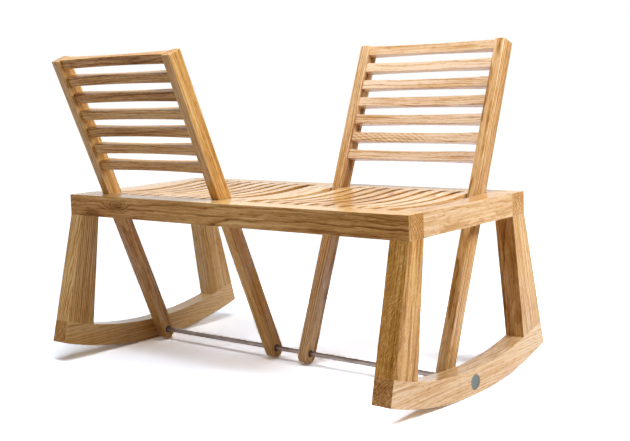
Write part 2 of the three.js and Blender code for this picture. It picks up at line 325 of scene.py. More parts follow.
def oak(name):
    material, tree = blank_material(name)
    place = stored(tree, "board", "Vector")
    knot = near_knot(tree)
    ring = rings(tree, place, knot)
    streak = spread(tree, grain(tree, place, (5.0, 190, 190), 3.0), 0.3, 0.7, -1.0, 1.0)
    drift = spread(tree, grain(tree, place, (2.5, 14, 14), 1.0), 0.3, 0.7, -1.0, 1.0)
    fibre = spread(tree, grain(tree, place, (14, 800, 800), 2.0), 0.3, 0.7, -1.0, 1.0)
    dash = spread(tree, grain(tree, place, (50, 420, 420), 1.0), 0.54, 0.66, smooth=True)
    pore = spread(tree, grain(tree, place, (45, 1500, 1500), 1.0), 0.60, 0.70, smooth=True)
    open_pore = times(tree, pore, times(tree, ring, 0.7, 0.3))
    fleck = times(tree, rays(tree, place), stored(tree, "fleck", "Fac"))

    value = stored(tree, "tone", "Fac")
    weights = (
        (ring, -0.25), (streak, 0.16), (drift, 0.10), (fibre, 0.06), (dash, -0.15), (open_pore, -0.22),
        # "face" adds the painted sheen of tops, the painted light and shade of front faces, and end grain's
        # tone.
        (fleck, 0.18), (knot, -0.22), (ripples(tree, place), -0.24), (stored(tree, "face", "Fac"), 1.0),
        # "edge" paints the eased edges a little paler, a painted highlight.
        (stored(tree, "edge", "Fac"), 0.06),
    )
    for part, weight in weights:
        value = times(tree, part, weight, value)
    ramp = node(tree, "ShaderNodeValToRGB", {"Fac": value})
    stops = ramp.node.color_ramp.elements
    while len(stops) < len(oak_shades):
        stops.new(0.5)
    for stop, (place_on_ramp, colour) in zip(stops, oak_shades):
        stop.position = place_on_ramp
        stop.color = colour

    patch = spread(tree, grain(tree, place, (4, 22, 22), 2.0), 0.35, 0.65)
    gold = times(tree, patch, 0.30, stored(tree, "gold", "Fac"))
    tinted = mixed(tree, 1.0, ramp, golden, blend_type="MULTIPLY")
    colour = mixed(tree, gold, ramp, tinted, clamp_factor=False)

    roughness = spread(tree, value, 0.2, 0.9, 0.30, 0.16)
    height = times(tree, fibre, 0.25)
    height = times(tree, open_pore, -1.0, height)
    height = times(tree, ring, -0.3, height)
    bump = node(tree, "ShaderNodeBump", {"Strength": 0.35, "Distance": 0.0003, "Height": height})
    shine = spread(tree, value, 0.3, 0.8, 0.04, 0.22)
    show(tree, {"Base Color": colour, "Roughness": roughness, "Normal": bump, "Specular IOR Level": shine})
    return material


wood = oak("oiled_oak")
print("oak nodes:", len(wood.node_tree.nodes))

# %% [markdown]
# ## From outline to board
# A board here is an outline in Y and Z, drawn out along X. Its sharp edges are bevelled in the mesh, a little
# over a millimetre, because a planed board that is pleasant to touch has no knife edge, and because the thin
# bright line along an eased edge is what makes it look solid. The bevel's faces are marked in "edge", and the
# oak paints them a little paler, a painted highlight.

# %% Make and ease a solid
ease_radius = 0.0014
sharp_angle = math.radians(30)


def loft(stations):
    """A closed solid through outlines of (y, z), each at its own x."""
    solid = bmesh.new()
    loops = [[solid.verts.new((x, y, z)) for y, z in outline] for x, outline in stations]
    solid.faces.new(loops[0])
    solid.faces.new(reversed(loops[-1]))
    for near, far in zip(loops, loops[1:]):
        for i in range(len(near)):
            solid.faces.new((near[i - 1], near[i], far[i], far[i - 1]))
    bmesh.ops.recalc_face_normals(solid, faces=solid.faces)
    return solid


def prism(outline, from_x, to_x):
    return loft([(from_x, outline), (to_x, outline)])


def round_outline(radius, centre_z=0.0, steps=48, start=0.0):
    """Points of (y, z) on a circle. start turns it on by that share of a step."""
    turns = [2 * math.pi * (i + start) / steps for i in range(steps)]
    return [(radius * math.cos(turn), centre_z + radius * math.sin(turn)) for turn in turns]


def ease(solid):
    marks = solid.faces.layers.float.new("edge")
    sharp = [edge for edge in solid.edges if edge.calc_face_angle() > sharp_angle]
    made = bmesh.ops.bevel(solid, geom=sharp, offset=ease_radius, segments=3, profile=0.5, affect="EDGES")
    for face in made["faces"]:
        face[marks] = 1.0
    return solid


def seat_outline(bottom_z, depth, lift=0.0, steps=32):
    """A board's end as seen along the bench, hollowed on top. The lift makes the hollow shallower."""
    points = [(rail_inner_y, seat_height), (rail_inner_y, bottom_z), (-rail_inner_y, bottom_z)]
    points.append((-rail_inner_y, seat_height))
    for i in range(steps + 1):
        share = 2 * i / steps - 1
        points.append((hollow_y * share, seat_height - max(0, depth * (1 - share * share) - lift)))
    return points


print("edges are eased by", round(1000 * ease_radius, 1), "mm")

# %% [markdown]
# ## Where a board lay in the tree
# The mesh keeps, for every point, its place in the tree. "along" is the way of the grain, "across" a second
# way square to it, and "heart" says how far off the heart of the tree was on those two cross ways. A heart
# straight under a face gives that face arches, and a heart to its side gives it straight lines. End grain can
# be a little darker than the board. Tops get a painted sheen or painted shade, and faces that look to the
# front painted light or painted shade.

# %% Store the grain
chance = Random(20)
one_way = 0.8  # a face looks one way where its normal is this close to it
knot_reach = (0.035, 0.012, 0.012)  # along the grain and both ways across it
# Tops are painted this much paler, a painted sheen.
painted_top_sheen = 0.12
end_tone = -0.15


def store(mesh, name, kind, domain, values):
    layer = mesh.attributes.get(name) or mesh.attributes.new(name, kind, domain)
    key = "vector" if kind == "FLOAT_VECTOR" else "value"
    layer.data.foreach_set(key, values)


def saw(mesh, along, across, heart, knot, **looks):
    """Stores each point's place in the tree, and the board's looks, the same at every point."""
    along = Vector(along).normalized()
    across = Vector(across)
    third = along.cross(across)
    middle = sum((point.co for point in mesh.vertices), Vector()) / len(mesh.vertices)
    start = chance.uniform(0, 40)
    places = []
    knot_ways = []
    for point in mesh.vertices:
        way = point.co - middle
        places += [start + way.dot(along), way.dot(across) - heart[0], way.dot(third) - heart[1]]
        if knot:
            way = point.co - Vector(knot)
            knot_ways += [way.dot(axis) / reach for axis, reach in zip((along, across, third), knot_reach)]
    store(mesh, "board", "FLOAT_VECTOR", "POINT", places)
    if knot:
        store(mesh, "knot", "FLOAT_VECTOR", "POINT", knot_ways)
        looks["knotted"] = 1.0
    for name, value in looks.items():
        store(mesh, name, "FLOAT", "POINT", [value] * len(mesh.vertices))


def shade_faces(mesh, along, top=painted_top_sheen, end=end_tone, front=0.0):
    """Adds painted sheen or shade to tops, painted light or shade to front faces, and tone to end grain."""
    shades = []
    # Tops get a painted sheen or painted shade, front faces painted light or painted shade.
    for face in mesh.polygons:
        if abs(face.normal.dot(along)) > one_way:
            shades.append(end)
        elif face.normal.z > one_way:
            shades.append(top)
        else:
            shades.append(front if face.normal.y < -one_way else 0.0)
    store(mesh, "face", "FLOAT", "FACE", shades)


def add_piece(name, mesh, material, body, stands_for):
    """The weighted normals keep wide faces flat to the light and let only the eased edges turn."""
    piece = bpy.data.objects.new(name, mesh)
    bpy.context.scene.collection.objects.link(piece)
    mesh.materials.clear()
    mesh.materials.append(material)
    mesh.shade_smooth()
    mesh.set_sharp_from_angle(angle=sharp_angle)
    weigh = piece.modifiers.new("flat_faces", "WEIGHTED_NORMAL")
    weigh.keep_sharp = True
    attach(piece, body)
    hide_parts(*stands_for)
    print(name, len(mesh.polygons), "faces")


def board(
    node_name, solid, along, heart, tone, fleck=0.1, gold=0.2, lines=1.0, knot=None,
    top=painted_top_sheen, end=end_tone, front=0.0,
    across=(1, 0, 0), place=Matrix(), body="frame", slot="frame_oak",
):
    """Turns a solid into an oak board, moves it to its place and lets it stand for one node."""
    mesh = bpy.data.meshes.new("oak_" + node_name)
    solid.to_mesh(mesh)
    solid.free()
    saw(mesh, along, across, heart, knot, tone=tone, fleck=fleck, gold=gold, lines=lines)
    mesh.transform(place)
    shade_faces(mesh, (place.to_3x3() @ Vector(along)).normalized(), top, end, front)
    add_piece("oak_" + node_name, mesh, wood, body, [node_name])


print("a knot reaches", [round(1000 * reach) for reach in knot_reach], "mm along and across the grain")

# %% [markdown]
# ## The seat frame
# Two long rails run the whole length and show their end grain at the corners. Two short end rails stand
# between them. The seat's shallow hollow runs out over each end rail, deeper at its inner edge.

# %% Make the rails
def long_rail(name, side, heart, **looks):
    near, far = sorted((side * rail_inner_y, side * rail_outer_y))
    outline = [(near, rail_bottom), (far, rail_bottom), (far, seat_height), (near, seat_height)]
    rail = ease(prism(outline, -half_length, half_length))
    board(name, rail, (1, 0, 0), heart, across=(0, 1, 0), **looks)


def end_rail(side, steps=8, **looks):
    """The hollow gets shallower from station to station, from the inner face to the outer one."""
    width = end_rail_high.x - end_rail_low.x
    stations = []
    for i in range(steps + 1):
        lift = (end_rail_dish - end_rail_outer_dish) * i / steps
        x = side * (end_rail_low.x + width * i / steps)
        stations.append((x, seat_outline(rail_bottom, end_rail_dish, lift)))
    name = "right_end_rail" if side > 0 else "left_end_rail"
    heart = (-0.12 * side, 0.03)
    board(name, ease(loft(stations)), (0, 1, 0), heart, fleck=0.4, gold=-0.2, lines=0.9, **looks)


knot_place = (-0.365, -rail_outer_y, 0.408)
# The front rail's top is painted paler, a painted sheen; its low tone and strong gold are partly painted
# shade.
front_looks = {"tone": 0.69, "gold": 0.6, "lines": 1.3, "knot": knot_place, "top": 0.26, "end": 0.03}
long_rail("front_seat_rail", -1, (0.048, -0.028), **front_looks)
long_rail("rear_seat_rail", 1, (-0.045, -0.04), tone=0.74, end=-0.05)
# The right end rail's top is painted darker, a painted shade, and the left one's paler, a painted sheen.
end_rail(1, tone=0.91, top=-0.16)
end_rail(-1, tone=0.88, top=0.08)

# %% [markdown]
# ## Legs
# A leg leans outwards and widens towards its foot, which is cut to the runner's curve. Its outer edge runs on
# down the end of the runner in one line. The grain follows the leg.

# %% Make the legs
runner_centre_z = runner_radius
runner_end_angle = math.asin(runner_high.y / runner_radius)
runner_top_radius = runner_radius - runner_depth


def runner_point(radius, angle):
    return radius * math.sin(angle), runner_centre_z - radius * math.cos(angle)


def meeting_angle(start, end, radius):
    """The angle at which a line from start towards end meets a curve of the runner."""
    begin = Vector(start) - Vector((0, runner_centre_z))
    way = (Vector(end) - Vector(start)).normalized()
    along = begin.dot(way)
    far = math.sqrt(along * along - begin.length_squared + radius * radius) - along
    hit = begin + way * far
    return math.atan2(hit.x, -hit.y)


leg_outer_top = (rail_outer_y, rail_bottom)
leg_inner_top = (rail_inner_y, rail_bottom)
runner_end = runner_point(runner_radius, runner_end_angle)
leg_outer_angle = meeting_angle(leg_outer_top, runner_end, runner_top_radius)
leg_inner_angle = leg_outer_angle - leg_foot_width / runner_top_radius
joint_overlap = 0.001  # so that no light shows through where two eased edges meet


def leg(name, side_x, side_y, heart, steps=8, **looks):
    radius = runner_top_radius + joint_overlap
    foot = []
    for i in range(steps + 1):
        angle = leg_inner_angle + (leg_outer_angle - leg_inner_angle) * i / steps
        foot.append(runner_point(radius, angle))
    top = [(y, z + joint_overlap) for y, z in (leg_inner_top, leg_outer_top)]
    outline = [(side_y * y, z) for y, z in [top[0], *foot, top[1]]]
    from_x, to_x = sorted((side_x * runner_low.x, side_x * runner_high.x))
    middle = foot[steps // 2]
    along = (0, side_y * (middle[0] - (rail_inner_y + rail_outer_y) / 2), middle[1] - rail_bottom)
    board(name, ease(prism(outline, from_x, to_x)), along, heart, **looks)


# The front faces of the rear right leg and the front left leg are painted darker, a painted shade, and the
# rear left leg's paler, a painted light. The front right leg's low tone and strong gold are partly painted
# shade.
leg("front_right_leg", 1, -1, (0.10, 0.02), tone=0.63, fleck=1.0, gold=1.1, lines=0.8)
leg("rear_right_leg", 1, 1, (0.02, 0.09), tone=0.84, fleck=0.2, gold=0.3, front=-0.20)
leg("front_left_leg", -1, -1, (0.04, 0.07), tone=0.94, gold=0.6, lines=1.8, front=-0.05)
leg("rear_left_leg", -1, 1, (-0.08, 0.05), tone=0.80, gold=0.6, front=0.14)

# %% [markdown]
# ## One slat, made by nodes
# The seats have eighteen slats and the backs fourteen, all bars with eased edges and a long, shallow hollow.
# Geometry Nodes suit them: one node group makes the bar, and the trees for the seats and the backs repeat it.
# The bar is a rounded outline swept along a straight line. Its points are then moved: the top goes down, or
# both sides come in, most in the middle and not at all at the ends.

# %% Build the node group for one slat
def input_group(name, inputs):
    group = bpy.data.node_groups.new(name, "GeometryNodeTree")
    for label, kind in inputs.items():
        group.interface.new_socket(label, in_out="INPUT", socket_type="NodeSocket" + kind)
    group.interface.new_socket("Geometry", in_out="OUTPUT", socket_type="NodeSocketGeometry")
    entry = group.nodes.new("NodeGroupInput")
    return group, {label: entry.outputs[label] for label in inputs}


def output(group, geometry):
    group.links.new(geometry, group.nodes.new("NodeGroupOutput").inputs[0])


def keep(tree, geometry, name, value, domain, kind="FLOAT"):
    """Stores a value on each copy or each point."""
    inputs = {"Geometry": geometry, "Name": name, "Value": value}
    return node(tree, "GeometryNodeStoreNamedAttribute", inputs, data_type=kind, domain=domain)


slat_steps = 49
ease_steps = 3
slat_sizes = {
    "Length": "Float", "Width": "Float", "Height": "Float", "Ease": "Float",
    "Hollow length": "Float", "Top hollow": "Float", "Side hollow": "Float",
}


def slat_group():
    group, size = input_group("one_slat", slat_sizes)
    half = times(group, size["Length"], 0.5)
    minus_half = times(group, size["Length"], -0.5)
    ends = {"Start": vector_of(group, minus_half), "End": vector_of(group, half)}
    line = node(group, "GeometryNodeCurvePrimitiveLine", ends)
    line = node(group, "GeometryNodeResampleCurve", {"Curve": line, "Count": slat_steps})
    sides = {"Width": size["Width"], "Height": size["Height"]}
    outline = node(group, "GeometryNodeCurvePrimitiveQuadrilateral", sides)
    rounding = {"Curve": outline, "Radius": size["Ease"], "Count": ease_steps}
    outline = node(group, "GeometryNodeFilletCurve", rounding, mode="POLY")
    sweep = {"Curve": line, "Profile Curve": outline, "Fill Caps": True}
    bar = node(group, "GeometryNodeCurveToMesh", sweep)

    x, y, z = parts_of(group, node(group, "GeometryNodeInputPosition"))
    share = maths(group, x, times(group, size["Hollow length"], 0.5), "DIVIDE")
    depth = maths(group, 1.0, times(group, share, share), "SUBTRACT")
    depth = maths(group, depth, 0.0, "MAXIMUM")
    on_top = maths(group, z, 0.0, "GREATER_THAN")
    down = times(group, times(group, depth, size["Top hollow"]), on_top)
    outwards = maths(group, y, 0.0, "SIGN")
    inwards = times(group, times(group, depth, size["Side hollow"]), outwards)
    back_by = times(group, inwards, -1.0)
    shift = vector_of(group, 0.0, back_by, times(group, down, -1.0))
    moved = node(group, "GeometryNodeSetPosition", {"Geometry": bar, "Offset": shift})
    place = node(group, "GeometryNodeInputPosition")
    output(group, keep(group, moved, "board", place, "POINT", "FLOAT_VECTOR"))
    return group


one_slat = slat_group()
print("one slat's inputs:", list(slat_sizes))

# %% [markdown]
# ## Many slats, each from its own place in the tree
# Slats that repeat must not look copied. Each copy stores a random shift before the copies are made real, and
# the shift is then added to "board", so that every slat shows another part of the tree. It also draws its own
# tone. The seed is fixed, so the bench comes out the same each time.

# %% Build the trees for rows of slats
def kept(tree, name, kind="FLOAT"):
    return node(tree, "GeometryNodeInputNamedAttribute", {"Name": name}, data_type=kind)


def join(tree, *parts):
    made = tree.nodes.new("GeometryNodeJoinGeometry")
    for part in parts:
        tree.links.new(part, made.inputs[0])
    return made.outputs[0]


def random_of(tree, kind, low, high, seed, offset):
    """A random value for each copy. The offset keeps two draws with one seed apart."""
    made = tree.nodes.new("FunctionNodeRandomValue")
    made.data_type = kind
    first = 0 if kind == "FLOAT_VECTOR" else 2
    made.inputs[first].default_value = low
    made.inputs[first + 1].default_value = high
    tree.links.new(maths(tree, seed, offset), made.inputs["Seed"])
    return made.outputs[0 if kind == "FLOAT_VECTOR" else 1]


def real_boards(tree, copies, size, material):
    """Stores each copy's shift and looks, makes the copies real and adds the shift to their places."""
    seed = size["Seed"]
    shift = random_of(tree, "FLOAT_VECTOR", (0, -0.07, -0.11), (40, 0.07, -0.03), seed, 0)
    paler = times(tree, random_of(tree, "FLOAT", -1.0, 1.0, seed, 1), size["Tone range"])
    number = node(tree, "GeometryNodeInputIndex")
    looks = {
        "tone": maths(tree, paler, size["Tone"]),
        "fleck": random_of(tree, "FLOAT", 0.0, 0.35, seed, 2),
        "gold": maths(tree, random_of(tree, "FLOAT", -0.15, 0.15, seed, 3), size["Gold"]),
        "lines": random_of(tree, "FLOAT", 0.8, 1.6, seed, 4),
        "ripple": maths(tree, number, maths(tree, size["Rippled slat"], -1.0), "COMPARE", 0.1),
    }
    geometry = keep(tree, copies, "shift", shift, "INSTANCE", "FLOAT_VECTOR")
    for name, value in looks.items():
        geometry = keep(tree, geometry, name, value, "INSTANCE")
    geometry = node(tree, "GeometryNodeRealizeInstances", {"Geometry": geometry})
    place = kept(tree, "board", "FLOAT_VECTOR")
    fading = spread(tree, parts_of(tree, place)[0], 0.0, 0.06, 1.0, 0.25, smooth=True)
    ripple = times(tree, kept(tree, "ripple"), fading)
    geometry = keep(tree, geometry, "ripple", ripple, "POINT")
    place = vector_maths(tree, place, kept(tree, "shift", "FLOAT_VECTOR"))
    geometry = keep(tree, geometry, "board", place, "POINT", "FLOAT_VECTOR")
    return node(tree, "GeometryNodeSetMaterial", {"Geometry": geometry, "Material": material})


row_sizes = {"Count": "Int", "First middle": "Vector", "Step": "Vector"}
row_looks = {"Seed": "Int", "Tone": "Float", "Tone range": "Float", "Gold": "Float", "Rippled slat": "Int"}


def row_tree(name, turn=0.0, opposite=False):
    """A row of slats, each turned about Z. An opposite row is the same one after half a turn."""
    tree, size = input_group(name, {**slat_sizes, **row_sizes, **row_looks})
    slat = node(tree, "GeometryNodeGroup", {label: size[label] for label in slat_sizes}, node_tree=one_slat)
    line = {"Count": size["Count"], "Start Location": size["First middle"], "Offset": size["Step"]}
    points = node(tree, "GeometryNodeMeshLine", line)
    inputs = {"Points": points, "Instance": slat, "Rotation": (0, 0, turn)}
    copies = node(tree, "GeometryNodeInstanceOnPoints", inputs)
    if opposite:
        other = node(tree, "GeometryNodeTransform", {"Geometry": copies, "Rotation": (0, 0, math.pi)})
        copies = join(tree, copies, other)
    output(tree, real_boards(tree, copies, size, wood))
    return tree


def grow(tree, values, name):
    """Runs a tree with these inputs and returns its result as a plain mesh."""
    mesh = bpy.data.meshes.new(name)
    carrier = bpy.data.objects.new(name + "_tree", mesh)
    bpy.context.scene.collection.objects.link(carrier)
    modifier = carrier.modifiers.new("nodes", "NODES")
    modifier.node_group = tree
    for item in tree.interface.items_tree:
        if item.in_out == "INPUT":
            modifier[item.identifier] = values[item.name]
    evaluated = carrier.evaluated_get(bpy.context.evaluated_depsgraph_get())
    result = bpy.data.meshes.new_from_object(evaluated)
    carrier.modifiers.remove(modifier)
    bpy.data.meshes.remove(mesh)
    result.name = name
    return result


print("each slat draws its own shift, tone, fleck, gold and lines")

# %% [markdown]
# ## The seat slats
# Each seat has nine slats a finger's width apart, so that rain falls through. The left seat is the right one
# after half a turn.

# %% Make the seat slats
slat_middle = (slat_low + slat_high) / 2
slat_mesh = grow(row_tree("seat_slats", math.pi / 2, opposite=True), {
    "Length": 2 * rail_inner_y,
    "Width": slat_high.x - slat_low.x,
    "Height": slat_high.z - slat_low.z,
    "Ease": ease_radius,
    "Hollow length": 2 * hollow_y,
    "Top hollow": seat_dish,
    "Side hollow": 0.0,
    "Count": slats_per_seat,
    "First middle": (slat_middle.x, 0, slat_middle.z),
    "Step": (next_slat_low.x - slat_low.x, 0, 0),
    "Seed": 4,
    "Tone": 0.74,
    "Tone range": 0.10,
    "Gold": 0.05,
    "Rippled slat": -1,
}, "oak_seat_slats")


def mark_edges(mesh):
    """Marks the eased edges of slats: faces that look along none of the slat's three ways."""
    flat = math.cos(math.radians(12))
    edges = [float(max(abs(part) for part in face.normal) < flat) for face in mesh.polygons]
    store(mesh, "edge", "FLOAT", "FACE", edges)


def add_slats(name, mesh, along, body, stands_for, place=Matrix()):
    mark_edges(mesh)
    mesh.transform(place)
    shade_faces(mesh, place.to_3x3() @ Vector(along))
    add_piece(name, mesh, wood, body, stands_for)


seat_nodes = [f"{side}_seat_slat_{i}" for side in ("left", "right") for i in range(1, slats_per_seat + 1)]
add_slats("oak_seat_slats", slat_mesh, (0, 1, 0), "frame", seat_nodes)

# %% [markdown]
# ## The plank between the seats
# It is as hollow as the slats, so that one curve runs over both seats.

# %% Make the plank
plank = ease(prism(seat_outline(plank_low.z, seat_dish), plank_low.x, plank_high.x))
board("centre_plank", plank, (0, 1, 0), (0.02, 0.08), 0.80, slot="seat_oak")

# %% [markdown]
# ## The runners
# A runner is cut from one thick board to an arc of about a metre radius, so the grain runs straight through
# it while its edges curve. Nodes bend a straight bar onto the arc: the way along the bar becomes an angle,
# and the height in the bar is taken off the radius. The top of each end reaches a little further round than
# the bottom, so the end runs on from the leg's outer edge.

# %% Make the runners
def runner_tree():
    sizes = {
        "Radius": "Float", "Depth": "Float", "Width": "Float", "Bottom angle": "Float", "Top angle": "Float",
        "Middle x": "Float", "Steps": "Int",
    }
    tree, size = input_group("runner", sizes)
    line = node(tree, "GeometryNodeCurvePrimitiveLine", {"Start": (-1, 0, 0), "End": (1, 0, 0)})
    line = node(tree, "GeometryNodeResampleCurve", {"Curve": line, "Count": size["Steps"]})
    sides = {"Width": size["Width"], "Height": size["Depth"]}
    outline = node(tree, "GeometryNodeCurvePrimitiveQuadrilateral", sides)
    bar = node(tree, "GeometryNodeCurveToMesh", {"Curve": line, "Profile Curve": outline, "Fill Caps": True})

    share, side, rise = parts_of(tree, node(tree, "GeometryNodeInputPosition"))
    height = times(tree, size["Depth"], 0.5, rise)
    upness = maths(tree, height, size["Depth"], "DIVIDE")
    reach = node(tree, "ShaderNodeMix", {0: upness, 2: size["Bottom angle"], 3: size["Top angle"]})
    angle = times(tree, share, reach)
    radius = maths(tree, size["Radius"], height, "SUBTRACT")
    y = times(tree, radius, maths(tree, angle, 0.0, "SINE"))
    fall = times(tree, radius, maths(tree, angle, 0.0, "COSINE"))
    z = maths(tree, size["Radius"], fall, "SUBTRACT")
    bent = vector_of(tree, maths(tree, size["Middle x"], side), y, z)
    bar = node(tree, "GeometryNodeSetPosition", {"Geometry": bar, "Position": bent})
    bar = node(tree, "GeometryNodeRealizeInstances", {"Geometry": bar})
    output(tree, node(tree, "GeometryNodeSetMaterial", {"Geometry": bar, "Material": wood}))
    return tree


bend = runner_tree()
runner_stations = 65
recess_floor_x = half_length - recess_depth
well_outside_x = 2 * half_length


def drill(solid, radius, from_x, to_x, centre_z):
    """Cuts a round hole along X out of a solid. Its corners keep off the solid's middle line."""
    circle = round_outline(radius, centre_z, start=0.5)
    parts = []
    for part in (solid, prism(circle, *sorted((from_x, to_x)))):
        mesh = bpy.data.meshes.new("part")
        part.to_mesh(mesh)
        part.free()
        parts.append(bpy.data.objects.new("part", mesh))
        bpy.context.scene.collection.objects.link(parts[-1])
    body, bit = parts
    cut = body.modifiers.new("hole", "BOOLEAN")
    cut.operation = "DIFFERENCE"
    cut.solver = "EXACT"
    cut.object = bit
    drilled = bmesh.new()
    drilled.from_object(body, bpy.context.evaluated_depsgraph_get())
    for part in parts:
        bpy.data.objects.remove(part)
    return drilled


def runner(name, side_x, heart, **looks):
    mesh = grow(bend, {
        "Radius": runner_radius,
        "Depth": runner_depth,
        "Width": runner_high.x - runner_low.x,
        "Bottom angle": runner_end_angle,
        "Top angle": leg_outer_angle,
        "Middle x": side_x * (runner_low.x + runner_high.x) / 2,
        "Steps": runner_stations,
    }, name)
    solid = bmesh.new()
    solid.from_mesh(mesh)
    bmesh.ops.remove_doubles(solid, verts=solid.verts, dist=1e-6)
    bmesh.ops.recalc_face_normals(solid, faces=solid.faces)
    solid = drill(ease(solid), recess_radius, side_x * recess_floor_x, side_x * well_outside_x, rod_z)
    solid = drill(solid, bore_radius, 0, side_x * well_outside_x, rod_z)
    board(name, solid, (0, 1, 0), heart, **looks)


# The right runner's top is painted darker, a painted shade, and the left one's paler, a painted sheen.
right_looks = {"tone": 0.94, "fleck": 0.4, "gold": -0.1, "lines": 0.8, "top": -0.10, "end": -0.33}
runner("right_rocker", 1, (-0.05, -0.09), **right_looks)
runner("left_rocker", -1, (-0.05, -0.07), tone=0.99, gold=0.5, top=0.30, end=-0.42)

# %% [markdown]
# ## The backs
# A back is made upright, with the rod's centre at the origin, and then leaned. Each upright is square at the
# top and round at the foot, with a bore for the rod's bush. The seven slats are scooped on both faces, so the
# back is as comfortable from either side.

# %% Make the uprights
def bored_prism(outline, hole_radius, from_x, to_x):
    """Like prism, with a round bore about the X axis."""
    solid = bmesh.new()
    edges = []
    for loop in (outline, round_outline(hole_radius)):
        points = [solid.verts.new((from_x, y, z)) for y, z in loop]
        edges += [solid.edges.new((points[i - 1], points[i])) for i in range(len(points))]
    bmesh.ops.triangle_fill(solid, use_beauty=True, edges=edges)
    made = bmesh.ops.extrude_face_region(solid, geom=solid.faces[:])
    moved = [part for part in made["geom"] if isinstance(part, bmesh.types.BMVert)]
    bmesh.ops.translate(solid, verts=moved, vec=(to_x - from_x, 0, 0))
    bmesh.ops.recalc_face_normals(solid, faces=solid.faces)
    return solid


right_lean = Matrix.Translation((0, 0, rod_z)) @ Matrix.Rotation(-lean, 4, "X")
lean_of = {"right": right_lean, "left": Matrix.Rotation(math.pi, 4, "Z") @ right_lean}
upright_width = inner_high.x - inner_low.x
upright_x = {"inner": inner_low.x, "outer": outer_low.x}


def upright(side, place, heart, steps=24, **looks):
    half = upright_depth / 2
    outline = [(half, upright_rise), (-half, upright_rise)]
    for i in range(steps + 1):
        angle = math.pi * i / steps
        outline.append((-half * math.cos(angle), -foot_drop - half * math.sin(angle)))
    from_x = upright_x[place]
    solid = ease(bored_prism(outline, bush_radius + fit_clearance, from_x, from_x + upright_width))
    rides = {"place": lean_of[side], "body": side + "_back", "slot": "back_oak"}
    board(f"{side}_back_{place}_upright", solid, (0, 0, 1), heart, **rides, **looks)


upright("right", "inner", (0.09, 0.01), tone=0.84, gold=-0.2, lines=1.8)
upright("right", "outer", (0.01, 0.06), tone=0.80, gold=0.1, lines=1.9)
# The left back's uprights are darker and more yellow partly as painted shade.
upright("left", "inner", (0.02, 0.08), tone=0.73, gold=0.7, lines=0.6)
upright("left", "outer", (0.08, 0.02), tone=0.80, gold=0.4)

# %% [markdown]
# ## The slats of the backs
# The same bar and tree serve again, with the bar's sides scooped and its top straight. The right back is of
# paler boards, and the saw left one of its slats with stripes at a slant. The left back is darker and more
# yellow. These tones are partly the boards' own and partly painted: the right back's pale slats are partly
# painted light, and the left back's, which face down into shade, partly painted shade.

# %% Make the slats of the backs
ladder = row_tree("back_slats")
back_low_x = inner_high.x + fit_clearance
back_high_x = outer_low.x - fit_clearance
# The right back's pale tone is partly painted light, the left back's dark, yellow tone partly painted shade.
back_looks = {
    "right": {"Seed": 196, "Tone": 0.94, "Tone range": 0.085, "Gold": -0.6, "Rippled slat": 6},
    "left": {"Seed": 281, "Tone": 0.685, "Tone range": 0.14, "Gold": 0.85, "Rippled slat": -1},
}
for side, looks in back_looks.items():
    mesh = grow(ladder, {
        "Length": back_high_x - back_low_x,
        "Width": back_slat_thickness,
        "Height": back_slat_height,
        "Ease": ease_radius,
        "Hollow length": back_high_x - back_low_x,
        "Top hollow": 0.0,
        "Side hollow": back_slat_scoop,
        "Count": back_slats,
        "First middle": ((back_low_x + back_high_x) / 2, 0, upright_rise - back_slat_height / 2),
        "Step": (0, 0, -back_slat_pitch),
        **looks,
    }, f"oak_{side}_back_slats")
    nodes = [f"{side}_back_slat_{i}" for i in range(1, back_slats + 1)]
    add_slats(mesh.name, mesh, (1, 0, 0), side + "_back", nodes, lean_of[side])

# %% [markdown]
# ## Steel, nylon and paint
# The rod is drawn steel, dull with fine lines along it. The bushes are black nylon, and the covers painted.
# Each has fine detail that the eye hardly sees but would miss.

# %% Mix the metals and the nylon
def brushed_steel(name):
    material, tree = blank_material(name)
    place = node(tree, "ShaderNodeTexCoord", out="Object")
    drawn = grain(tree, place, (8, 2500, 2500), 2.0)
    stain = grain(tree, place, (25, 90, 90), 3.0)
    colour = mixed(tree, spread(tree, stain, 0.35, 0.7), (0.22, 0.18, 0.16, 1), (0.37, 0.31, 0.275, 1))
    roughness = spread(tree, drawn, 0.3, 0.7, 0.28, 0.46)
    bump = node(tree, "ShaderNodeBump", {"Strength": 0.2, "Distance": 0.0001, "Height": drawn})
    show(tree, {"Base Color": colour, "Metallic": 1.0, "Roughness": roughness, "Normal": bump})
    return material


def speckled(name, dark, pale, low_roughness, high_roughness):
    """A moulded or painted surface: fine speckle in its colour and a soft orange-peel bump."""
    material, tree = blank_material(name)
    place = node(tree, "ShaderNodeTexCoord", out="Object")
    speckle = grain(tree, place, (900, 900, 900), 3.0)
    cloud = grain(tree, place, (120, 120, 120), 2.0)
    colour = mixed(tree, spread(tree, speckle, 0.3, 0.7), dark, pale)
    roughness = spread(tree, cloud, 0.3, 0.7, low_roughness, high_roughness)
    bump = node(tree, "ShaderNodeBump", {"Strength": 0.15, "Distance": 0.0002, "Height": speckle})
    show(tree, {"Base Color": colour, "Roughness": roughness, "Normal": bump})
    return material


steel = brushed_steel("drawn_steel")
nylon = speckled("black_nylon", (0.022, 0.020, 0.018, 1), (0.045, 0.041, 0.037, 1), 0.45, 0.6)
paint = speckled("green_grey_paint", (0.058, 0.080, 0.066, 1), (0.100, 0.130, 0.108, 1), 0.35, 0.5)
print("materials:", [material.name for material in (steel, nylon, paint)])

# %% [markdown]
# ## Rod, bushes and covers
# These are all round, so each is a profile turned about an axis along X. The covers hide the rod's nuts and
# are left plain. The nuts and washers behind them keep the shapes that they were built with.

